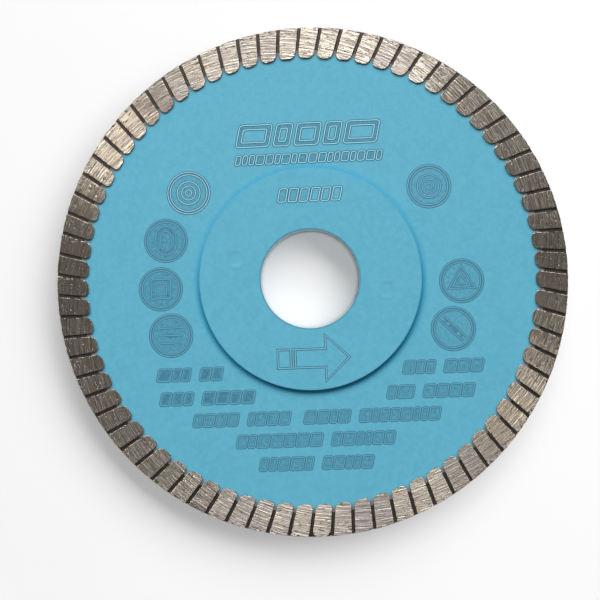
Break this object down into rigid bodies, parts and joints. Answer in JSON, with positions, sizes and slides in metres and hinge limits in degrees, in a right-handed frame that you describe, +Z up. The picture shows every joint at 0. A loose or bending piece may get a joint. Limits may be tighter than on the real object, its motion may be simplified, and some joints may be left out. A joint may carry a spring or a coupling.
{
  "type": "diamond blade",
  "caption": "Round turbo-rim diamond cutting blade: painted steel core, welded hub flanges, plain arbor bore and a sintered rim of slanted lands.",
  "frame": {"origin": "centre of the arbor bore, half way through the blade's thickness", "axes": "+Y along the arbor axis from the front face to the rear face, +Z up, +X to the right seen from the front"},
  "size_m": [0.115, 0.0032, 0.115],
  "materials": {
    "blue_paint": "satin sky-blue paint with a faint mottle",
    "weld_steel": "resistance-welded steel",
    "sintered_matrix": "dark as-sintered metal matrix",
    "ground_matrix": "warm grey metal matrix, ground round the axis, with open pores",
    "diamond_grit": "small pale synthetic diamond crystals",
    "laser_mark": "bare steel laid open by the marking laser"
  },
  "bodies": {
    "root": {"steel_core": "blue_paint", "front_hub_flange": "blue_paint", "rear_hub_flange": "blue_paint", "front_left_weld_nugget": "weld_steel", "front_right_weld_nugget": "weld_steel", "rear_left_weld_nugget": "weld_steel", "rear_right_weld_nugget": "weld_steel", "rim_matrix_ring": "sintered_matrix", "front_lands": "ground_matrix", "rear_lands": "ground_matrix"}
  },
  "joints": []
}
